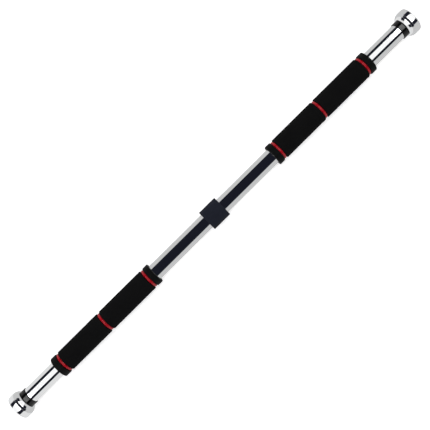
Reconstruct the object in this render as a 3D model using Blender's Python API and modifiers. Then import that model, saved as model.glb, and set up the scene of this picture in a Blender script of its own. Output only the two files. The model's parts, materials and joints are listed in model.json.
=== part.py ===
"""A doorway pull-up bar: two chromed tubes joined end to end, with foam grips and screw-out feet at the ends.

The bar lies along X with its centre at the origin, +Z up. Each tube's mouth holds a threaded insert. A lead
screw runs in it and carries a chromed cup with a rubber pad, and a nylon bush on its inner end slides in the
tube. Turning a foot against the bar drives it outwards. The right thread is right-handed and the left is
left-handed, so turning the bar between two feet held by a door frame drives both outwards.
Every turned piece is drawn in a frame whose Z axis runs outwards along the bar, from the bar's centre.
"""

import math

import bmesh
import bpy
from mathutils import Matrix

MM = 0.001
GAP = 0.3 * MM

# Driving dimensions. Places are measured from the bar's centre outwards.
TUBE_RADIUS = 14.0 * MM
TUBE_WALL = 1.5 * MM
CUP_BACK = 426.5 * MM
CUP_MOUTH = 446.8 * MM
PAD_FACE = 447.3 * MM
TRAVEL = 60.0 * MM

SLEEVE_LENGTH = 34.6 * MM
SLEEVE_RADIUS = 18.5 * MM
JOINER_LENGTH = 120.0 * MM
JOINER_WALL = 3.0 * MM
JOINT_PIN_PLACE = 8.5 * MM
JOINT_PIN_RADIUS = 2.5 * MM
PIN_INSET = 0.2 * MM

# Both grips face the same way along the bar, so each is laid out from its -X end.
GRIP_START_X = {"left": -353.7 * MM, "right": 131.9 * MM}
GRIP_LENGTH = 218.0 * MM
RED_RING_CENTRES = (13.4 * MM, 106.2 * MM, 204.9 * MM)
RED_RING_WIDTH = 5.2 * MM
RED_RING_RADIUS = 17.4 * MM
RED_RING_CROWN = 1.7 * MM
GRIP_RADIUS = 18.8 * MM
FOAM_EDGE = 1.2 * MM
END_RING_EDGE = 0.6 * MM

COLLAR_RADIUS = 15.2 * MM
COLLAR_LENGTH = 9.5 * MM
COLLAR_WALL = 1.5 * MM
COLLAR_EDGE = 0.5 * MM
CUP_CLEARANCE = 0.4 * MM

ROD_RADIUS = 10.0 * MM
ROD_CHAMFER = 1.0 * MM
NUT_LENGTH = 30.0 * MM
NUT_SCREW_RADIUS = 2.0 * MM
NUT_SCREW_INSET = 5.5 * MM
CUTTER_REACH = 2.0 * MM
BUSH_LENGTH = 9.4 * MM
BUSH_CLEARANCE_AT_STOP = 1.0 * MM
SPIGOT_RADIUS = 7.0 * MM
STOP_WASHER_RADIUS = 10.5 * MM
STOP_WASHER_THICKNESS = 1.6 * MM
STOP_SCREW_RADIUS = 3.0 * MM
STOP_SCREW_REACH = 14.0 * MM
STOP_HEAD_RADIUS = 5.4 * MM
STOP_HEAD_DEPTH = 3.3 * MM

CUP_RADIUS = 22.0 * MM
CUP_SHEET = 1.6 * MM
SHOULDER_BEND = 13.5 * MM
CORNER_BEND = 2.05 * MM
MOUTH_INSET = 1.2 * MM
MOUTH_LENGTH = 4.0 * MM
CUP_WASHER_RADIUS = 9.0 * MM
CUP_WASHER_THICKNESS = 1.4 * MM
CUP_BOLT_RADIUS = 4.0 * MM
CUP_BOLT_LENGTH = 24.0 * MM
BOLT_HEAD_RADIUS = 7.5 * MM
BOLT_HEAD_DEPTH = 5.3 * MM
PAD_EDGE = 0.8 * MM
PAD_BOSS_RADIUS = 15.0 * MM

# Facets round each piece.
SKIN_SIDES = 32
CORE_SIDES = 24
SMALL_SIDES = 12

# Places and radii that follow from the sizes above.
BORE_RADIUS = TUBE_RADIUS - TUBE_WALL
FIT_RADIUS = BORE_RADIUS - GAP
COLLAR_END = CUP_BACK - CUP_CLEARANCE
TUBE_END = COLLAR_END - COLLAR_WALL - GAP
NUT_END = TUBE_END - GAP
NUT_START = NUT_END - NUT_LENGTH
BUSH_END = NUT_START - TRAVEL - BUSH_CLEARANCE_AT_STOP
BUSH_START = BUSH_END - BUSH_LENGTH
ROD_SHOULDER = BUSH_END + GAP
ROD_START = BUSH_START - GAP
STOP_WASHER_FACE = ROD_START - GAP
STOP_SEAT = STOP_WASHER_FACE - STOP_WASHER_THICKNESS - GAP
ROD_END = CUP_BACK - GAP
CUP_FLOOR = CUP_BACK + CUP_SHEET
CUP_WASHER_START = CUP_FLOOR + GAP
BOLT_SEAT = CUP_WASHER_START + CUP_WASHER_THICKNESS + GAP
# The shoulder turns 45 degrees on its large bend, and the corner of the cup's back takes the rest.
HALF_TURN = math.sin(math.radians(45))
RIM_START = CUP_BACK + CORNER_BEND * (1 - HALF_TURN) + SHOULDER_BEND * HALF_TURN
CORNER_CENTRE_RADIUS = CUP_RADIUS - SHOULDER_BEND + (SHOULDER_BEND - CORNER_BEND) * HALF_TURN
CORNER_CENTRE = CUP_BACK + CORNER_BEND

# Turns a piece's Z axis, which runs outwards, onto the bar's -X or +X.
OUTWARDS = {
    "left": Matrix.Rotation(math.radians(-90), 4, "Y"),
    "right": Matrix.Rotation(math.radians(90), 4, "Y"),
}


def clear_scene():
    for obj in list(bpy.data.objects):
        bpy.data.objects.remove(obj, do_unlink=True)


def new_collection(name):
    collection = bpy.data.collections.new(name)
    bpy.context.scene.collection.children.link(collection)
    return collection


def new_material(name, colour, roughness, metallic=0.0):
    material = bpy.data.materials.new(name)
    material.use_nodes = True
    shader = material.node_tree.nodes["Principled BSDF"]
    shader.inputs["Base Color"].default_value = (*colour, 1.0)
    shader.inputs["Roughness"].default_value = roughness
    shader.inputs["Metallic"].default_value = metallic
    return material


def make_materials():
    return {
        "chrome": new_material("chrome", (0.60, 0.60, 0.61), 0.05, 1.0),
        "foam": new_material("foam", (0.010, 0.010, 0.011), 0.9),
        "red_rubber": new_material("red_rubber", (0.35, 0.008, 0.02), 0.45),
        "black_rubber": new_material("black_rubber", (0.012, 0.012, 0.014), 0.7),
        "sleeve_plastic": new_material("sleeve_plastic", (0.020, 0.024, 0.032), 0.6),
        "black_nylon": new_material("black_nylon", (0.012, 0.012, 0.012), 0.3),
        "white_nylon": new_material("white_nylon", (0.70, 0.69, 0.65), 0.4),
        "plated_steel": new_material("plated_steel", (0.50, 0.50, 0.48), 0.35, 1.0),
    }


def arc(centre_r, centre_z, size_r, size_z, start_deg, end_deg, steps):
    """Points (radius, height) along an elliptical arc; 0 degrees points away from the axis, 90 outwards."""
    points = []
    for step in range(steps + 1):
        angle = math.radians(start_deg + (end_deg - start_deg) * step / steps)
        points.append((centre_r + size_r * math.cos(angle), centre_z + size_z * math.sin(angle)))
    return points


def ring_profile(inner, outer, start, end, edge=0.0):
    """A ring's outline, running down its outer side, with its two outer edges chamfered by edge."""
    if not edge:
        return [(outer, end), (outer, start), (inner, start), (inner, end)]
    upper = [(outer - edge, end), (outer, end - edge)]
    lower = [(outer, start + edge), (outer - edge, start)]
    return upper + lower + [(inner, start), (inner, end)]


def turned(name, profile, material, collection, sides):
    """A piece turned about its Z axis. A profile that starts and ends on the axis is left open there."""
    mesh = bpy.data.meshes.new(name)
    edges = [(i, (i + 1) % len(profile)) for i in range(len(profile))]
    if profile[0][0] == 0 and profile[-1][0] == 0:
        edges.pop()
    mesh.from_pydata([(r, 0.0, z) for r, z in profile], edges, [])
    obj = bpy.data.objects.new(name, mesh)
    collection.objects.link(obj)
    if material:
        mesh.materials.append(material)
    screw = obj.modifiers.new("Screw", "SCREW")
    screw.steps = sides
    screw.render_steps = sides
    screw.use_merge_vertices = True
    screw.merge_threshold = 0.00001
    screw.use_smooth_shade = True
    return obj


def boolean(obj, other, operation):
    modifier = obj.modifiers.new(operation.title(), "BOOLEAN")
    modifier.operation = operation
    modifier.object = other
    modifier.solver = "EXACT"


def hidden(obj):
    obj.hide_render = True
    obj.display_type = "WIRE"
    return obj


def rod_shape(name, radius, low, high, collection, matrix, material=None):
    """A plain round bar between two heights of its own Z axis."""
    outline = [(0, high), (radius, high), (radius, low), (0, low)]
    obj = turned(name, outline, material, collection, SMALL_SIDES)
    obj.matrix_world = matrix
    return obj


def across_bar(side, place):
    """A frame with its origin on the bar's axis, at a place on one side, and its Z axis straight up."""
    return Matrix.Translation((place if side == "right" else -place, 0, 0))


def make_tube(side, materials, collection, cutters):
    profile = ring_profile(BORE_RADIUS, TUBE_RADIUS, GAP, TUBE_END)
    tube = turned(side + "_tube", profile, materials["chrome"], collection, SKIN_SIDES)
    tube.matrix_world = OUTWARDS[side]
    boolean(tube, cutters[side + "_pin_hole"], "DIFFERENCE")
    boolean(tube, cutters[side + "_screw_hole"], "DIFFERENCE")


def make_cutters(collection):
    """The holes for the cross pins at the middle and for the grub screws at the mouths."""
    cutters = {}
    pin_hole = JOINT_PIN_RADIUS + GAP
    screw_hole = NUT_SCREW_RADIUS + GAP
    beyond = TUBE_RADIUS + CUTTER_REACH
    for side in OUTWARDS:
        pin_frame = across_bar(side, JOINT_PIN_PLACE)
        screw_frame = across_bar(side, NUT_END - NUT_SCREW_INSET)
        pin = rod_shape(side + "_pin_hole", pin_hole, -beyond, beyond, collection, pin_frame)
        low = ROD_RADIUS - CUTTER_REACH
        screw = rod_shape(side + "_screw_hole", screw_hole, low, beyond, collection, screw_frame)
        cutters[side + "_pin_hole"] = hidden(pin)
        cutters[side + "_screw_hole"] = hidden(screw)
    return cutters


def make_centre_joint(materials, collection, cutters):
    """The steel joiner inside both tubes, a cross pin on each side, and the sleeve that covers them."""
    half = JOINER_LENGTH / 2
    profile = ring_profile(FIT_RADIUS - JOINER_WALL, FIT_RADIUS, -half, half)
    joiner = turned("centre_joiner", profile, materials["plated_steel"], collection, SKIN_SIDES)
    joiner.matrix_world = OUTWARDS["right"]
    half = SLEEVE_LENGTH / 2
    profile = ring_profile(TUBE_RADIUS + GAP, SLEEVE_RADIUS, -half, half, END_RING_EDGE)
    sleeve = turned("centre_sleeve", profile, materials["sleeve_plastic"], collection, SKIN_SIDES)
    sleeve.matrix_world = OUTWARDS["right"]
    reach = TUBE_RADIUS - PIN_INSET
    steel = materials["plated_steel"]
    for side in OUTWARDS:
        boolean(joiner, cutters[side + "_pin_hole"], "DIFFERENCE")
        frame = across_bar(side, JOINT_PIN_PLACE)
        rod_shape(side + "_joint_pin", JOINT_PIN_RADIUS, -reach, reach, collection, frame, steel)


def red_ring_profile(start, end):
    """A band whose outer face is crowned."""
    inner = TUBE_RADIUS + GAP
    middle = (start + end) / 2
    half = (end - start) / 2
    crown = arc(RED_RING_RADIUS - RED_RING_CROWN, middle, RED_RING_CROWN, half, 90, -90, 4)
    return crown + [(inner, start), (inner, end)]


def make_grip(side, materials, collection):
    """Two foam lengths and two end rings, parted by three red rings, laid out from the grip's -X end."""
    names = ["end_ring_outer", "red_ring_outer", "foam_outer", "red_ring_middle"]
    names += ["foam_inner", "red_ring_inner", "end_ring_inner"]
    if side == "right":
        names.reverse()
    half = RED_RING_WIDTH / 2
    edges = [0.0]
    for centre in RED_RING_CENTRES:
        edges += [centre - half, centre + half]
    edges.append(GRIP_LENGTH)
    last = len(names) - 1
    for index, name in enumerate(names):
        start = edges[index] + (GAP / 2 if index > 0 else 0)
        end = edges[index + 1] - (GAP / 2 if index < last else 0)
        if name.startswith("red"):
            profile = red_ring_profile(start, end)
            material = materials["red_rubber"]
        elif name.startswith("foam"):
            profile = ring_profile(TUBE_RADIUS + GAP, GRIP_RADIUS, start, end, FOAM_EDGE)
            material = materials["foam"]
        else:
            profile = ring_profile(TUBE_RADIUS + GAP, GRIP_RADIUS, start, end, END_RING_EDGE)
            material = materials["black_rubber"]
        piece = turned(f"{side}_grip_{name}", profile, material, collection, SKIN_SIDES)
        piece.matrix_world = Matrix.Translation((GRIP_START_X[side], 0, 0)) @ OUTWARDS["right"]


def make_end_nut(side, materials, collection, cutters):
    """The insert fixed in the tube and its grub screw. The insert's bore stands for the thread's crest."""
    steel = materials["plated_steel"]
    profile = ring_profile(ROD_RADIUS + GAP, FIT_RADIUS, NUT_START, NUT_END)
    nut = turned(side + "_end_nut", profile, steel, collection, SKIN_SIDES)
    nut.matrix_world = OUTWARDS[side]
    boolean(nut, cutters[side + "_screw_hole"], "DIFFERENCE")
    frame = across_bar(side, NUT_END - NUT_SCREW_INSET)
    low = ROD_RADIUS + 2 * GAP
    rod_shape(side + "_nut_screw", NUT_SCREW_RADIUS, low, TUBE_RADIUS - PIN_INSET, collection, frame, steel)


def make_collar(side, materials, collection):
    """A cap over the tube's mouth, with an end wall that the lead screw passes through."""
    skirt = TUBE_RADIUS + GAP
    start = COLLAR_END - COLLAR_LENGTH
    wall = COLLAR_END - COLLAR_WALL
    bore = ROD_RADIUS + GAP
    profile = [
        (COLLAR_RADIUS - COLLAR_EDGE, COLLAR_END),
        (COLLAR_RADIUS, COLLAR_END - COLLAR_EDGE),
        (COLLAR_RADIUS, start + COLLAR_EDGE),
        (COLLAR_RADIUS - COLLAR_EDGE, start),
        (skirt, start),
        (skirt, wall),
        (bore, wall),
        (bore, COLLAR_END),
    ]
    collar = turned(side + "_collar", profile, materials["black_nylon"], collection, SKIN_SIDES)
    collar.matrix_world = OUTWARDS[side]


def make_lead_screw(side, materials, collection):
    """The threaded rod at its crest, with a spigot for the bush and a tapped hole in each end."""
    outer_hole = CUP_BOLT_RADIUS + GAP
    inner_hole = STOP_SCREW_RADIUS + GAP
    outer_floor = BOLT_SEAT - CUP_BOLT_LENGTH - GAP
    inner_floor = STOP_SEAT + STOP_SCREW_REACH + GAP
    profile = [
        (0, outer_floor),
        (outer_hole, outer_floor),
        (outer_hole, ROD_END),
        (ROD_RADIUS, ROD_END),
        (ROD_RADIUS, ROD_SHOULDER + ROD_CHAMFER),
        (ROD_RADIUS - ROD_CHAMFER, ROD_SHOULDER),
        (SPIGOT_RADIUS, ROD_SHOULDER),
        (SPIGOT_RADIUS, ROD_START),
        (inner_hole, ROD_START),
        (inner_hole, inner_floor),
        (0, inner_floor),
    ]
    rod = turned(side + "_lead_screw", profile, materials["plated_steel"], collection, CORE_SIDES)
    rod.matrix_world = OUTWARDS[side]


def make_guide_bush(side, materials, collection):
    profile = ring_profile(SPIGOT_RADIUS + GAP, FIT_RADIUS, BUSH_START, BUSH_END)
    bush = turned(side + "_guide_bush", profile, materials["white_nylon"], collection, CORE_SIDES)
    bush.matrix_world = OUTWARDS[side]


def make_rod_stop(side, materials, collection):
    """The washer and screw that keep the bush on the rod's spigot."""
    steel = materials["plated_steel"]
    low = STOP_WASHER_FACE - STOP_WASHER_THICKNESS
    profile = ring_profile(STOP_SCREW_RADIUS + GAP, STOP_WASHER_RADIUS, low, STOP_WASHER_FACE)
    washer = turned(side + "_stop_washer", profile, steel, collection, CORE_SIDES)
    washer.matrix_world = OUTWARDS[side]
    tip = STOP_SEAT + STOP_SCREW_REACH
    face = STOP_SEAT - STOP_HEAD_DEPTH
    profile = [
        (0, tip),
        (STOP_SCREW_RADIUS, tip),
        (STOP_SCREW_RADIUS, STOP_SEAT),
        (STOP_HEAD_RADIUS, STOP_SEAT),
        (STOP_HEAD_RADIUS, face),
        (0, face),
    ]
    screw = turned(side + "_stop_screw", profile, steel, collection, SMALL_SIDES)
    screw.matrix_world = OUTWARDS[side]


def cup_profile():
    """The pressed cup: a flat back, a tight corner, a rounded shoulder, a short straight rim and a mouth."""
    hole = CUP_BOLT_RADIUS + GAP
    inside = CUP_RADIUS - CUP_SHEET
    shoulder_centre = CUP_RADIUS - SHOULDER_BEND
    inner_shoulder = SHOULDER_BEND - CUP_SHEET
    inner_corner = CORNER_BEND - CUP_SHEET
    mouth = arc(CUP_RADIUS - MOUTH_INSET, CUP_MOUTH - MOUTH_LENGTH, MOUTH_INSET, MOUTH_LENGTH, 90, 0, 4)
    shoulder = arc(shoulder_centre, RIM_START, SHOULDER_BEND, SHOULDER_BEND, 0, -45, 5)
    corner = arc(CORNER_CENTRE_RADIUS, CORNER_CENTRE, CORNER_BEND, CORNER_BEND, -45, -90, 2)[1:]
    back = [(hole, CUP_BACK), (hole, CUP_FLOOR)]
    inner_foot = arc(CORNER_CENTRE_RADIUS, CORNER_CENTRE, inner_corner, inner_corner, -90, -45, 1)[:1]
    inner_curve = arc(shoulder_centre, RIM_START, inner_shoulder, inner_shoulder, -45, 0, 4)
    return mouth + shoulder + corner + back + inner_foot + inner_curve + [(inside, CUP_MOUTH)]


def hexagon_head(name, collection):
    mesh = bpy.data.meshes.new(name)
    shape = bmesh.new()
    middle = BOLT_SEAT + BOLT_HEAD_DEPTH / 2
    bmesh.ops.create_cone(
        shape,
        cap_ends=True,
        segments=6,
        radius1=BOLT_HEAD_RADIUS,
        radius2=BOLT_HEAD_RADIUS,
        depth=BOLT_HEAD_DEPTH,
        matrix=Matrix.Translation((0, 0, middle)),
    )
    shape.to_mesh(mesh)
    shape.free()
    obj = bpy.data.objects.new(name, mesh)
    collection.objects.link(obj)
    return obj


def make_cup_fastener(side, materials, collection, cutter_collection):
    """The washer and hexagon bolt that clamp the cup to the rod."""
    steel = materials["plated_steel"]
    high = CUP_WASHER_START + CUP_WASHER_THICKNESS
    profile = ring_profile(CUP_BOLT_RADIUS + GAP, CUP_WASHER_RADIUS, CUP_WASHER_START, high)
    washer = turned(side + "_cup_washer", profile, steel, collection, CORE_SIDES)
    washer.matrix_world = OUTWARDS[side]
    low = BOLT_SEAT - CUP_BOLT_LENGTH
    into_head = BOLT_SEAT + BOLT_HEAD_DEPTH / 2
    bolt = rod_shape(side + "_cup_bolt", CUP_BOLT_RADIUS, low, into_head, collection, OUTWARDS[side], steel)
    head = hidden(hexagon_head(side + "_bolt_head", cutter_collection))
    head.matrix_world = OUTWARDS[side]
    boolean(bolt, head, "UNION")


def make_pad(side, materials, collection):
    """The rubber pad: a disc in the rim, and a boss round the bolt's head that seats on the cup's floor."""
    radius = CUP_RADIUS - CUP_SHEET - GAP
    pocket = CUP_WASHER_RADIUS + 2 * GAP
    pocket_floor = BOLT_SEAT + BOLT_HEAD_DEPTH + 2 * GAP
    seat = CUP_FLOOR + GAP
    step = RIM_START + GAP
    profile = [
        (0, PAD_FACE),
        (radius - PAD_EDGE, PAD_FACE),
        (radius, PAD_FACE - PAD_EDGE),
        (radius, step),
        (PAD_BOSS_RADIUS, step),
        (PAD_BOSS_RADIUS, seat),
        (pocket, seat),
        (pocket, pocket_floor),
        (0, pocket_floor),
    ]
    pad = turned(side + "_end_pad", profile, materials["black_rubber"], collection, SKIN_SIDES)
    pad.matrix_world = OUTWARDS[side]


def make_end(side, materials, collection, cutters, cutter_collection):
    make_end_nut(side, materials, collection, cutters)
    make_collar(side, materials, collection)
    make_lead_screw(side, materials, collection)
    make_guide_bush(side, materials, collection)
    make_rod_stop(side, materials, collection)
    cup = turned(side + "_end_cup", cup_profile(), materials["chrome"], collection, SKIN_SIDES)
    cup.matrix_world = OUTWARDS[side]
    make_cup_fastener(side, materials, collection, cutter_collection)
    make_pad(side, materials, collection)


def main():
    clear_scene()
    bar = new_collection("pull_up_bar")
    cutter_collection = new_collection("cutters")
    materials = make_materials()
    cutters = make_cutters(cutter_collection)
    make_centre_joint(materials, bar, cutters)
    for side in OUTWARDS:
        make_tube(side, materials, bar, cutters)
        make_grip(side, materials, bar)
        make_end(side, materials, bar, cutters, cutter_collection)


main()
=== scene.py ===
import json
import math

import bmesh
import bpy
from mathutils import Matrix, Vector

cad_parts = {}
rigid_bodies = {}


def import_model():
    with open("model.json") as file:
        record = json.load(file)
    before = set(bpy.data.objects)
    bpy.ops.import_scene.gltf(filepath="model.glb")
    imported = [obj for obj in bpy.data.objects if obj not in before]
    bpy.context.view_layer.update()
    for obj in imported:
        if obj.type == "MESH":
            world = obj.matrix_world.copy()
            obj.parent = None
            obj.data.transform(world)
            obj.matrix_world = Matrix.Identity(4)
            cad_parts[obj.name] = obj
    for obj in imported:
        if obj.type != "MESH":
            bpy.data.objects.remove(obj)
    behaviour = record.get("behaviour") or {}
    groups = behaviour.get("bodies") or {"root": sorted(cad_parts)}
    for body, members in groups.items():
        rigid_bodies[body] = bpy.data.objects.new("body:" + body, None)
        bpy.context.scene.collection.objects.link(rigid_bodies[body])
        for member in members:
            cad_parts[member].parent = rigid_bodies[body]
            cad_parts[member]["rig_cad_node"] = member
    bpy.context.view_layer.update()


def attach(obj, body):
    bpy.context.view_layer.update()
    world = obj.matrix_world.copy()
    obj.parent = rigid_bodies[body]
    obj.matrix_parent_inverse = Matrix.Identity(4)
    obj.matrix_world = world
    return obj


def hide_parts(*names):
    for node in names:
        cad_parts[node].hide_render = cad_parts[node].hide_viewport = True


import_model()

MM = 0.001
GAP = 0.3 * MM

# The CAD model's sizes, repeated here because this script can't read its source.
TUBE_RADIUS = 14.0 * MM
BORE_RADIUS = 12.5 * MM
CUP_BACK = 426.5 * MM
CUP_MOUTH = 446.8 * MM
PAD_FACE = 447.3 * MM
CUP_RADIUS = 22.0 * MM
CUP_SHEET = 1.6 * MM
SHOULDER_BEND = 13.5 * MM
CORNER_BEND = 2.05 * MM
COLLAR_END = CUP_BACK - 0.4 * MM
COLLAR_LENGTH = 9.5 * MM
COLLAR_WALL = 1.5 * MM
COLLAR_RADIUS = 15.2 * MM
COLLAR_BORE = 10.3 * MM
TUBE_END = COLLAR_END - COLLAR_WALL - GAP
NUT_END = TUBE_END - GAP
NUT_LENGTH = 30.0 * MM
# The travel of 60 mm, and 1 mm between bush and insert at its end.
TRAVEL_ROOM = 61.0 * MM
BUSH_END = NUT_END - NUT_LENGTH - TRAVEL_ROOM
ROD_SHOULDER = BUSH_END + GAP
SPIGOT_RADIUS = 7 * MM
BUSH_LENGTH = 9.4 * MM
ROD_START = BUSH_END - BUSH_LENGTH - GAP
ROD_END = CUP_BACK - GAP
STOP_WASHER = 1.6 * MM
STOP_SEAT = ROD_START - GAP - STOP_WASHER - GAP
CUP_WASHER = 1.4 * MM
BOLT_SEAT = CUP_BACK + CUP_SHEET + GAP + CUP_WASHER + GAP
BOLT_HOLE_RADIUS = 4.3 * MM
BOLT_HOLE_DEPTH = 24.3 * MM
STOP_HOLE_RADIUS = 3.3 * MM
STOP_HOLE_DEPTH = 14.3 * MM
PIN_HOLE_RADIUS = 2.8 * MM
PIN_PLACE = 8.5 * MM
SCREW_HOLE_RADIUS = 2.3 * MM
SCREW_SETBACK = 5.5 * MM
# The cup's shoulder and its corner meet at 45 degrees.
SIN_45 = math.sin(math.radians(45))
RIM_START = CUP_BACK + CORNER_BEND * (1 - SIN_45) + SHOULDER_BEND * SIN_45
CORNER_CENTRE_RADIUS = CUP_RADIUS - SHOULDER_BEND + (SHOULDER_BEND - CORNER_BEND) * SIN_45
MOUTH_INSET = 1.2 * MM
MOUTH_LENGTH = 4.0 * MM
GRIP_START = {"left": -353.7 * MM, "right": 131.9 * MM}
GRIP_LENGTH = 218.0 * MM
RED_CENTRES = (13.4 * MM, 106.2 * MM, 204.9 * MM)
RED_WIDTH = 5.2 * MM
GRIP_RADIUS = 18.8 * MM
GRIP_BORE = TUBE_RADIUS + GAP
SLEEVE_HALF = 17.3 * MM
SLEEVE_RADIUS = 18.5 * MM
# The lead screw's thread, which the CAD leaves plain.
THREAD_PITCH = 4.0 * MM
THREAD_CREST = 9.95 * MM
THREAD_ROOT = 8.5 * MM

# The main view: straight down on the bar, turned so that its right end points up and to the right.
BAR_ANGLE = math.radians(44.7)
CAMERA_DISTANCE = 1.212
CAMERA_RIGHT = 0.71 * MM
CAMERA_DOWN = 2.43 * MM
LENS = 62.8
FLOOR_Z = -22.3 * MM

# The studio's bands across the bar, in degrees from straight up: from, to and the softness of the edges.
CARD_ACROSS = (-61, 66, 2)
NEAR_STRIP = (-55, -23, 1.5)
FAR_STRIP = (38, 75, 2.5)
NEAR_WAIST = (-54, -25, 2)
FAR_WAIST = (40, 72, 2)
OVERHEAD = (-24, 38, 2)
# The same along the bar, as the share of the direction that points along it.
CARD_ALONG = (-1, 0.235, 0.015)
STRIPS_ALONG = (0.25, 0.7, 0.03)
WAIST_ALONG = (0.334, 0.37, 0.003)
LAMP_ALONG = (0.3285, 0.341, 0.0015)
# The grey of the sides, from the left end's to the rest's, and where one passes into the other.
GREY_CHANGE = (-0.28, -0.2)
SIDE_GREYS = (0.76, 0.57)
STUDIO_DARK = (0.010, 0.011, 0.018, 1)
STUDIO_STRENGTH = 1.06
LAMP_STRENGTH = 8.5

SIDES = 96
ROD_SIDES = 48
OUTWARDS = {
    "left": Matrix.Rotation(math.radians(-90), 4, "Y"),
    "right": Matrix.Rotation(math.radians(90), 4, "Y"),
}


def sign_of(side):
    return 1 if side == "right" else -1


def map_range(tree, value, span, result, smooth=False):
    node = tree.nodes.new("ShaderNodeMapRange")
    if smooth:
        node.interpolation_type = "SMOOTHSTEP"
    for socket, number in zip(("From Min", "From Max", "To Min", "To Max"), (*span, *result)):
        node.inputs[socket].default_value = number
    tree.links.new(value, node.inputs["Value"])
    return node.outputs["Result"]


# ---------------------------------------------------------------- materials

# The part of a noise texture's range that is stretched over the values wanted.
NOISE_SPAN = (0.3, 0.7)
PLASTIC_IOR = 1.5


class Nodes:
    """Short names for the shader nodes that the materials share."""

    def __init__(self, name):
        self.material = bpy.data.materials.new(name)
        self.material.use_nodes = True
        self.tree = self.material.node_tree
        self.shader = self.tree.nodes["Principled BSDF"]
        self.place = self.tree.nodes.new("ShaderNodeTexCoord").outputs["Object"]

    def link(self, source, target):
        self.tree.links.new(source, target)

    def stretched(self, scale):
        node = self.tree.nodes.new("ShaderNodeMapping")
        node.inputs["Scale"].default_value = scale
        self.link(self.place, node.inputs["Vector"])
        return node.outputs["Vector"]

    def noise(self, scale, detail=3.0, stretch=(1, 1, 1)):
        node = self.tree.nodes.new("ShaderNodeTexNoise")
        node.inputs["Scale"].default_value = scale
        node.inputs["Detail"].default_value = detail
        self.link(self.stretched(stretch), node.inputs["Vector"])
        return node.outputs["Fac"]

    def cells(self, scale):
        node = self.tree.nodes.new("ShaderNodeTexVoronoi")
        node.inputs["Scale"].default_value = scale
        self.link(self.place, node.inputs["Vector"])
        return node.outputs["Distance"]

    def ranged(self, value, to_low, to_high, span=NOISE_SPAN):
        return map_range(self.tree, value, span, (to_low, to_high))

    def mixed(self, value, first, second):
        node = self.tree.nodes.new("ShaderNodeValToRGB")
        node.color_ramp.elements[0].color = (*first, 1)
        node.color_ramp.elements[1].color = (*second, 1)
        self.link(value, node.inputs["Fac"])
        return node.outputs["Color"]

    def bump(self, height, strength, distance, under=None):
        node = self.tree.nodes.new("ShaderNodeBump")
        node.inputs["Strength"].default_value = strength
        node.inputs["Distance"].default_value = distance
        self.link(height, node.inputs["Height"])
        if under:
            self.link(under, node.inputs["Normal"])
        return node.outputs["Normal"]

    def set(self, **values):
        for name, value in values.items():
            socket = self.shader.inputs[name.replace("_", " ")]
            if isinstance(value, (int, float, tuple)):
                socket.default_value = value
            else:
                self.link(value, socket)


def chrome():
    """Bright plating with faint lengthwise polishing lines and a slight haze."""
    n = Nodes("bright_chrome")
    haze = n.noise(60, 4)
    lines = n.noise(700, 2, (0.02, 1, 1))
    tint = n.mixed(haze, (0.86, 0.87, 0.88), (0.93, 0.93, 0.93))
    rough = n.ranged(haze, 0.03, 0.06)
    n.set(Metallic=1.0, Base_Color=tint, Roughness=rough, Normal=n.bump(lines, 0.006, 0.00001))
    return n.material


def foam():
    """Closed-cell foam: a dull skin with fine open pores and a slow change in shade."""
    n = Nodes("grip_foam")
    pores = n.ranged(n.cells(1500), 0.0, 1.0, span=(0.0, 0.5))
    waves = n.noise(180, 3)
    tint = n.mixed(n.noise(45, 4), (0.0048, 0.0048, 0.0050), (0.0072, 0.0072, 0.0074))
    rough = n.ranged(waves, 0.68, 0.84)
    normal = n.bump(pores, 0.35, 0.00012, n.bump(waves, 0.25, 0.0003))
    n.set(Base_Color=tint, Roughness=rough, Specular_IOR_Level=0.015, Normal=normal)
    return n.material


def moulded(name, dark, light, rough, grain, depth, specular=0.4):
    """Moulded rubber or plastic: a fine spark-eroded grain with a little change in shade and gloss."""
    n = Nodes(name)
    cloud = n.noise(70, 3)
    fine = n.noise(grain, 2)
    roughness = n.ranged(cloud, *rough)
    tint = n.mixed(cloud, dark, light)
    n.set(Base_Color=tint, Roughness=roughness, Specular_IOR_Level=specular, IOR=PLASTIC_IOR)
    n.set(Normal=n.bump(fine, 0.3, depth))
    return n.material


def plated_steel():
    """Dull zinc plate, finely turned."""
    n = Nodes("zinc_plate")
    cloud = n.noise(120, 4)
    turned_lines = n.noise(2200, 1, (1, 0.05, 0.05))
    tint = n.mixed(cloud, (0.42, 0.42, 0.40), (0.58, 0.58, 0.56))
    rough = n.ranged(cloud, 0.24, 0.42)
    n.set(Metallic=1.0, Base_Color=tint, Roughness=rough, Normal=n.bump(turned_lines, 0.12, 0.00004))
    return n.material


def floor_material():
    """Pale and partly self-lit, since the photograph's ground is plain white."""
    n = Nodes("pale_floor")
    tint = n.mixed(n.noise(8, 2), (0.90, 0.90, 0.90), (0.92, 0.92, 0.92))
    n.set(Base_Color=tint, Roughness=0.9, Specular_IOR_Level=0.1)
    n.set(Emission_Color=(1.0, 1.0, 1.0, 1.0), Emission_Strength=0.55)
    return n.material


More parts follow.
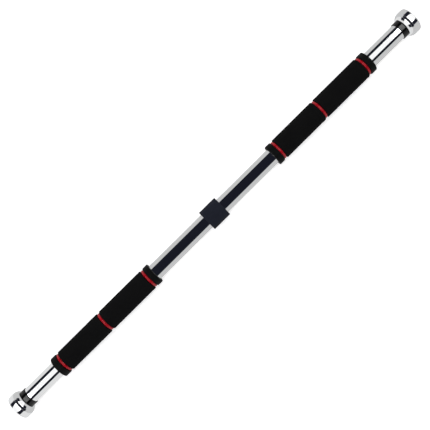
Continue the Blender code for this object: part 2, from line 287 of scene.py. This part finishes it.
MATERIALS = {
    "chrome": chrome(),
    "foam": foam(),
    "red_rubber": moulded(
        "red_rubber", (0.34, 0.002, 0.009), (0.46, 0.004, 0.014), (0.20, 0.30), grain=1600, depth=0.00005
    ),
    "black_rubber": moulded(
        "end_rubber", (0.0020, 0.0022, 0.0022), (0.0042, 0.0044, 0.0044), (0.5, 0.66),
        grain=1300, depth=0.00008, specular=0.10,
    ),
    "sleeve_plastic": moulded(
        "sleeve", (0.013, 0.015, 0.023), (0.017, 0.019, 0.029), (0.55, 0.7),
        grain=1400, depth=0.00008, specular=0.03,
    ),
    "black_nylon": moulded(
        "black_nylon", (0.002, 0.002, 0.002), (0.004, 0.004, 0.004), (0.05, 0.08),
        grain=1800, depth=0.000004, specular=0.28,
    ),
    "white_nylon": moulded(
        "white_nylon", (0.66, 0.64, 0.58), (0.74, 0.73, 0.68), (0.34, 0.46), grain=1500, depth=0.00004
    ),
    "plated_steel": plated_steel(),
}


# ---------------------------------------------------------------- shapes

ON_AXIS = 1e-6
SAME_PLACE = 1e-6
SHARP_ANGLE = math.radians(40)


def along_from(here, direction, distance):
    point = here + direction.normalized() * distance
    return (point.x, point.y)


def softened(profile, radius, steps=3):
    """The same outline with its corners rounded, except for the ones on the axis.

    A point just outside each rounding keeps the straight run beyond it shaded as straight.
    """
    out = []
    count = len(profile)
    hold = radius * 1.25
    long_run = 3 * radius
    for i, (r, z) in enumerate(profile):
        here = Vector((r, z))
        back = Vector(profile[i - 1]) - here
        ahead = Vector(profile[(i + 1) % count]) - here
        straight = back.length < 1e-7 or ahead.length < 1e-7 or back.angle(ahead) > math.radians(150)
        if r < ON_AXIS or straight:
            out.append((r, z))
            continue
        start = here + back.normalized() * min(radius, back.length * 0.45)
        end = here + ahead.normalized() * min(radius, ahead.length * 0.45)
        if back.length > long_run:
            out.append(along_from(here, back, hold))
        for step in range(steps + 1):
            t = step / steps
            point = start * (1 - t) ** 2 + here * (2 * t * (1 - t)) + end * t ** 2
            out.append((point.x, point.y))
        if ahead.length > long_run:
            out.append(along_from(here, ahead, hold))
    return out


def arc(centre_r, centre_z, size_r, size_z, start_deg, end_deg, steps):
    points = []
    for step in range(steps + 1):
        a = math.radians(start_deg + (end_deg - start_deg) * step / steps)
        points.append((centre_r + size_r * math.cos(a), centre_z + size_z * math.sin(a)))
    return points


def lathe(name, profile, slot, matrix, body, replaces, shape=None, sides=SIDES):
    """Turns an outline round its Z axis; shape(r, z, angle), if given, returns each point's own radius."""
    mesh = bpy.data.meshes.new(name)
    bm = bmesh.new()
    rings = []
    for r, z in profile:
        ring = []
        for k in range(sides):
            a = 2 * math.pi * k / sides
            radius = shape(r, z, a) if shape else r
            ring.append(bm.verts.new((radius * math.cos(a), radius * math.sin(a), z)))
        rings.append(ring)
    open_ended = profile[0][0] < ON_AXIS and profile[-1][0] < ON_AXIS
    last = len(rings) - 1 if open_ended else len(rings)
    for i in range(last):
        first, second = rings[i], rings[(i + 1) % len(rings)]
        for k in range(sides):
            j = (k + 1) % sides
            bm.faces.new((first[k], first[j], second[j], second[k]))
    bmesh.ops.remove_doubles(bm, verts=bm.verts, dist=SAME_PLACE)
    bmesh.ops.recalc_face_normals(bm, faces=bm.faces)
    for face in bm.faces:
        face.smooth = True
    bm.to_mesh(mesh)
    bm.free()
    mesh.set_sharp_from_angle(angle=SHARP_ANGLE)
    obj = bpy.data.objects.new(name, mesh)
    bpy.context.scene.collection.objects.link(obj)
    obj.data.materials.append(MATERIALS[slot])
    # The turning frame goes into the mesh, so that object coordinates are the bar's own.
    obj.data.transform(matrix)
    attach(obj, body)
    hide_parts(replaces)
    return obj


def cut(obj, radius, low, high, x):
    """Drills a round hole along Z, at x, between two heights."""
    middle = (x, 0, (low + high) / 2)
    bpy.ops.mesh.primitive_cylinder_add(vertices=32, radius=radius, depth=high - low, location=middle)
    drill = bpy.context.object
    modifier = obj.modifiers.new("Hole", "BOOLEAN")
    modifier.operation = "DIFFERENCE"
    modifier.object = drill
    modifier.solver = "EXACT"
    result = bpy.data.meshes.new_from_object(obj.evaluated_get(bpy.context.evaluated_depsgraph_get()))
    obj.modifiers.remove(modifier)
    obj.data = result
    bpy.data.objects.remove(drill, do_unlink=True)


def make_tube(side):
    """The rings along it keep the shading near a hole from running down the whole tube."""
    chamfer = 0.2 * MM
    rings = [x * MM for x in (4, 13, 16, 60, 410, 415, 424)]
    places = [GAP + chamfer] + rings + [TUBE_END - chamfer]
    outer = [(TUBE_RADIUS, x) for x in reversed(places)]
    inner = [(BORE_RADIUS, x) for x in places]
    profile = [(TUBE_RADIUS - chamfer, TUBE_END)] + outer + [(TUBE_RADIUS - chamfer, GAP)]
    profile += [(BORE_RADIUS, GAP)] + inner + [(BORE_RADIUS, TUBE_END)]
    tube = lathe(side + "_tube_skin", profile, "chrome", OUTWARDS[side], "bar", side + "_tube")
    # The pin's hole goes through both walls, and the grub screw's through the upper one.
    outside = 20 * MM
    inside = 9 * MM
    sign = sign_of(side)
    cut(tube, PIN_HOLE_RADIUS, -outside, outside, sign * PIN_PLACE)
    cut(tube, SCREW_HOLE_RADIUS, inside, outside, sign * (NUT_END - SCREW_SETBACK))


def make_cup(side):
    """A flat back, a tight corner, a rounded shoulder, a short straight rim and a rounded mouth."""
    inside = CUP_RADIUS - CUP_SHEET
    shoulder_r = CUP_RADIUS - SHOULDER_BEND
    inner_bend = SHOULDER_BEND - CUP_SHEET
    inner_corner = CORNER_BEND - CUP_SHEET
    corner_z = CUP_BACK + CORNER_BEND
    mouth = arc(CUP_RADIUS - MOUTH_INSET, CUP_MOUTH - MOUTH_LENGTH, MOUTH_INSET, MOUTH_LENGTH, 90, 0, 12)
    shoulder = arc(shoulder_r, RIM_START, SHOULDER_BEND, SHOULDER_BEND, 0, -45, 24)
    corner = arc(CORNER_CENTRE_RADIUS, corner_z, CORNER_BEND, CORNER_BEND, -45, -90, 8)[1:]
    back = [(BOLT_HOLE_RADIUS, CUP_BACK), (BOLT_HOLE_RADIUS, CUP_BACK + CUP_SHEET)]
    inner_foot = arc(CORNER_CENTRE_RADIUS, corner_z, inner_corner, inner_corner, -90, -45, 3)[:-1]
    inner = arc(shoulder_r, RIM_START, inner_bend, inner_bend, -45, 0, 16)
    profile = mouth + shoulder + corner + back + inner_foot + inner + [(inside, CUP_MOUTH)]
    lathe(side + "_cup_shell", profile, "chrome", OUTWARDS[side], side + "_foot", side + "_end_cup")


def make_pad(side):
    """A face with two shallow grooves round its flat middle, and a pocket behind for the bolt's head."""
    radius = CUP_RADIUS - CUP_SHEET - GAP
    boss = 15.0 * MM
    step = RIM_START + GAP
    groove_width = 1.2 * MM
    groove_slope = 0.2 * MM
    groove_floor = PAD_FACE - 0.8 * MM
    profile = [(0, PAD_FACE)]
    for groove in (12.0 * MM, 15.5 * MM):
        profile += [(groove, PAD_FACE), (groove + groove_slope, groove_floor)]
        profile += [(groove + groove_width - groove_slope, groove_floor), (groove + groove_width, PAD_FACE)]
    back = CUP_BACK + 1.9 * MM
    pocket = 9.6 * MM
    pocket_end = BOLT_SEAT + 5.9 * MM
    edge = 0.8 * MM
    profile += [(radius - edge, PAD_FACE), (radius, PAD_FACE - edge), (radius, step), (boss, step)]
    profile += [(boss, back), (pocket, back), (pocket, pocket_end), (0, pocket_end)]
    profile = softened(profile, 0.3 * MM)
    name = side + "_pad_rubber"
    pad = lathe(name, profile, "black_rubber", OUTWARDS[side], side + "_foot", side + "_end_pad")


def make_collar(side):
    """A skirt over the tube's mouth, and a wall that the lead screw passes through."""
    start = COLLAR_END - COLLAR_LENGTH
    skirt = TUBE_RADIUS + GAP
    wall = COLLAR_END - COLLAR_WALL
    profile = [(COLLAR_RADIUS, COLLAR_END), (COLLAR_RADIUS, start), (skirt, start), (skirt, wall)]
    profile += [(COLLAR_BORE, wall), (COLLAR_BORE, COLLAR_END)]
    profile = softened(profile, 0.45 * MM)
    lathe(side + "_collar_cap", profile, "black_nylon", OUTWARDS[side], "bar", side + "_collar")


def thread_radius(hand):
    """A trapezoidal thread that runs out at the rod's ends.

    The hand is 1 for right-handed and -1 for left-handed.
    """
    half_crest = 0.13
    flank_share = 0.24
    run_out = 3 * MM
    depth = THREAD_CREST - THREAD_ROOT

    def radius(r, z, angle):
        if r < THREAD_CREST - 0.01 * MM or not ROD_SHOULDER < z < ROD_END:
            return r
        phase = (z / THREAD_PITCH - hand * angle / (2 * math.pi)) % 1.0
        flank = min(max((abs(phase - 0.5) - half_crest) / flank_share, 0.0), 1.0)
        run_in = min((z - ROD_SHOULDER) / run_out, (ROD_END - z) / run_out, 1.0)
        return THREAD_CREST - depth * (flank * run_in + (1 - run_in) * 0.5)

    return radius


def make_lead_screw(side):
    """A threaded rod with a plain spigot for the bush, drilled at its ends for bolt and stop screw."""
    bolt_end = BOLT_SEAT - BOLT_HOLE_DEPTH
    stop_end = STOP_SEAT + STOP_HOLE_DEPTH
    profile = [(0, bolt_end), (BOLT_HOLE_RADIUS, bolt_end)]
    profile += [(BOLT_HOLE_RADIUS, ROD_END), (THREAD_ROOT, ROD_END)]
    steps = int((ROD_END - ROD_SHOULDER) / (THREAD_PITCH / 12))
    for i in range(1, steps):
        profile.append((THREAD_CREST, ROD_END + (ROD_SHOULDER - ROD_END) * i / steps))
    profile += [(THREAD_ROOT, ROD_SHOULDER), (SPIGOT_RADIUS, ROD_SHOULDER), (SPIGOT_RADIUS, ROD_START)]
    profile += [(STOP_HOLE_RADIUS, ROD_START), (STOP_HOLE_RADIUS, stop_end), (0, stop_end)]
    name = side + "_lead_screw"
    shape = thread_radius(sign_of(side))
    lathe(name + "_thread", profile, "plated_steel", OUTWARDS[side], side + "_foot", name, shape, ROD_SIDES)


def grip_edges():
    """Where a grip's seven pieces begin and end, counted from its left end."""
    edges = [0.0]
    for centre in RED_CENTRES:
        edges += [centre - RED_WIDTH / 2, centre + RED_WIDTH / 2]
    return edges + [GRIP_LENGTH]


def foam_profile(start, end):
    """Rounded ends, and a skin that swells and sinks by a few hundredths of a millimetre."""
    fall = 1.6 * MM
    reach = 1.2 * MM
    swell = 0.04 * MM
    profile = arc(GRIP_RADIUS - fall, end - reach, fall, reach, 90, 0, 6)
    steps = 24
    for i in range(1, steps):
        z = end - reach + (start - end + 2 * reach) * i / steps
        wave = swell * (math.sin(z * 310.0) + math.sin(z * 790.0)) - 2 * swell
        profile.append((GRIP_RADIUS + wave, z))
    profile += arc(GRIP_RADIUS - fall, start + reach, fall, reach, 0, -90, 6)
    return profile + [(GRIP_BORE, start), (GRIP_BORE, end)]


def red_ring_profile(start, end):
    """A low round crown in the notch between two black lengths."""
    crown_height = 1.7 * MM
    crown_foot = 15.7 * MM
    crown = arc(crown_foot, (start + end) / 2, crown_height, (end - start) / 2, 90, -90, 14)
    return crown + [(GRIP_BORE, start), (GRIP_BORE, end)]


def end_ring_profile(start, end):
    profile = [(GRIP_RADIUS, end), (GRIP_RADIUS, start), (GRIP_BORE, start), (GRIP_BORE, end)]
    return softened(profile, 0.9 * MM, 5)


# Each kind of grip piece, by the start of its name: its outline and its material.
GRIP_KINDS = {
    "red": (red_ring_profile, "red_rubber"),
    "foam": (foam_profile, "foam"),
    "end": (end_ring_profile, "black_rubber"),
}


def make_grip(side):
    """Seven pieces with a gap between neighbours, spaced the same from left to right in both grips."""
    names = ["end_ring_outer", "red_ring_outer", "foam_outer", "red_ring_middle"]
    names += ["foam_inner", "red_ring_inner", "end_ring_inner"]
    if side == "right":
        names.reverse()
    edges = grip_edges()
    matrix = Matrix.Translation((GRIP_START[side], 0, 0)) @ OUTWARDS["right"]
    for i, name in enumerate(names):
        start = edges[i] + (GAP / 2 if i else 0)
        end = edges[i + 1] - (GAP / 2 if i < len(names) - 1 else 0)
        outline, slot = GRIP_KINDS[name.split("_")[0]]
        node = f"{side}_grip_{name}"
        piece = lathe(node + "_skin", outline(start, end), slot, matrix, "bar", node)


def make_sleeve():
    profile = [(SLEEVE_RADIUS, SLEEVE_HALF), (SLEEVE_RADIUS, -SLEEVE_HALF)]
    profile += [(GRIP_BORE, -SLEEVE_HALF), (GRIP_BORE, SLEEVE_HALF)]
    profile = softened(profile, 0.6 * MM, 4)
    lathe("centre_sleeve_skin", profile, "sleeve_plastic", OUTWARDS["right"], "bar", "centre_sleeve")


def finish_inner_nodes():
    """The CAD pieces that stay are steel, apart from the nylon bushes."""
    for obj in bpy.context.scene.objects:
        if "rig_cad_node" in obj and not obj.hide_render:
            material = MATERIALS["white_nylon" if "bush" in obj.name else "plated_steel"]
            for slot in obj.material_slots:
                slot.material = material


# ---------------------------------------------------------------- stage

def maths(tree, operation, first, second=None):
    node = tree.nodes.new("ShaderNodeMath")
    node.operation = operation
    for socket, value in zip(node.inputs, (first, second)):
        if isinstance(value, (int, float)):
            socket.default_value = value
        elif value is not None:
            tree.links.new(value, socket)
    return node.outputs["Value"]


def smooth_band(tree, value, band, unit=1):
    """1 inside a band and 0 outside it, with soft edges."""
    low, high, soft = (number * unit for number in band)
    rise = map_range(tree, value, (low - soft, low + soft), (0, 1), smooth=True)
    fall = map_range(tree, value, (high - soft, high + soft), (1, 0), smooth=True)
    return maths(tree, "MULTIPLY", rise, fall)


def make_world():
    """A studio, white overhead and grey at the sides, with a dark card over the bar's middle.

    Two dark strips run along each end of the bar, narrower past the tube, and a small lamp lights the collar.
    """
    world = bpy.data.worlds.new("studio")
    bpy.context.scene.world = world
    world.use_nodes = True
    tree = world.node_tree
    direction = tree.nodes.new("ShaderNodeTexCoord").outputs["Generated"]
    split = tree.nodes.new("ShaderNodeSeparateXYZ")
    tree.links.new(direction, split.inputs["Vector"])
    across = maths(tree, "ARCTAN2", split.outputs["Y"], split.outputs["Z"])
    along = maths(tree, "ABSOLUTE", split.outputs["X"])
    degree = math.radians(1)

    card = smooth_band(tree, across, CARD_ACROSS, degree)
    card = maths(tree, "MULTIPLY", card, smooth_band(tree, along, CARD_ALONG))

    near = smooth_band(tree, across, NEAR_STRIP, degree)
    far = smooth_band(tree, across, FAR_STRIP, degree)
    strips = maths(tree, "MAXIMUM", near, far)
    strips = maths(tree, "MULTIPLY", strips, smooth_band(tree, along, STRIPS_ALONG))
    near_waist = smooth_band(tree, across, NEAR_WAIST, degree)
    far_waist = smooth_band(tree, across, FAR_WAIST, degree)
    beyond_tube = smooth_band(tree, along, WAIST_ALONG)
    trim = maths(tree, "SUBTRACT", beyond_tube, maths(tree, "MAXIMUM", near_waist, far_waist))
    strips = maths(tree, "SUBTRACT", strips, maths(tree, "MAXIMUM", trim, 0.0))
    strips = maths(tree, "MAXIMUM", strips, 0.0)
    dark = maths(tree, "MAXIMUM", card, strips)

    sides = map_range(tree, split.outputs["X"], GREY_CHANGE, SIDE_GREYS)
    overhead = smooth_band(tree, across, OVERHEAD, degree)
    sky = maths(tree, "MAXIMUM", sides, overhead)
    mix = tree.nodes.new("ShaderNodeMix")
    mix.data_type = "RGBA"
    # Sockets 6 and 7 are the mix's two colours, and output 2 is its colour result.
    tree.links.new(sky, mix.inputs[6])
    mix.inputs[7].default_value = STUDIO_DARK
    tree.links.new(dark, mix.inputs["Factor"])
    background = tree.nodes["Background"]
    tree.links.new(mix.outputs[2], background.inputs["Color"])

    lamp = maths(tree, "MULTIPLY", overhead, smooth_band(tree, along, LAMP_ALONG))
    strength = maths(tree, "ADD", maths(tree, "MULTIPLY", lamp, LAMP_STRENGTH), STUDIO_STRENGTH)
    tree.links.new(strength, background.inputs["Strength"])


def backdrop_material():
    """Plain white light, the same from every side."""
    material = bpy.data.materials.new("backdrop_paper")
    material.use_nodes = True
    tree = material.node_tree
    tree.nodes.clear()
    glow = tree.nodes.new("ShaderNodeEmission")
    glow.inputs["Color"].default_value = (1, 1, 1, 1)
    glow.inputs["Strength"].default_value = 1.0
    out = tree.nodes.new("ShaderNodeOutputMaterial")
    tree.links.new(glow.outputs["Emission"], out.inputs["Surface"])
    return material


def make_backdrop():
    """An even white dome round the studio.

    It is only seen directly: it lights nothing and isn't reflected.
    """
    bpy.ops.mesh.primitive_uv_sphere_add(segments=32, ring_count=16, radius=8)
    dome = bpy.context.object
    dome.name = "backdrop"
    dome.data.materials.append(backdrop_material())
    dome.visible_diffuse = False
    dome.visible_glossy = False
    dome.visible_transmission = False
    dome.visible_shadow = False


def make_stage():
    bpy.ops.mesh.primitive_plane_add(size=12, location=(0, 0, FLOOR_Z))
    floor = bpy.context.object
    floor.name = "floor"
    floor.data.materials.append(floor_material())
    floor.visible_glossy = False
    make_backdrop()
    light = bpy.data.lights.new("soft_key", "AREA")
    light.energy = 26
    light.size = 2.2
    key = bpy.data.objects.new("soft_key", light)
    key.location = (-0.3, 0.8, 2.4)
    key.rotation_euler = (Vector(key.location)).to_track_quat("Z", "Y").to_euler()
    key.visible_glossy = False
    bpy.context.scene.collection.objects.link(key)


def make_camera():
    right = Vector((math.cos(BAR_ANGLE), -math.sin(BAR_ANGLE), 0))
    up = Vector((math.sin(BAR_ANGLE), math.cos(BAR_ANGLE), 0))
    camera = bpy.data.cameras.new("camera")
    camera.lens = LENS
    camera.sensor_width = 36
    obj = bpy.data.objects.new("camera", camera)
    obj.location = right * CAMERA_RIGHT - up * CAMERA_DOWN + Vector((0, 0, CAMERA_DISTANCE))
    obj.rotation_euler = (0, 0, -BAR_ANGLE)
    bpy.context.scene.collection.objects.link(obj)
    bpy.context.scene.camera = obj


make_camera()
make_world()
make_stage()
make_sleeve()
for side in OUTWARDS:
    make_tube(side)
    make_grip(side)
    make_collar(side)
    make_lead_screw(side)
    make_cup(side)
    make_pad(side)
finish_inner_nodes()
bpy.context.scene.view_settings.view_transform = "Standard"
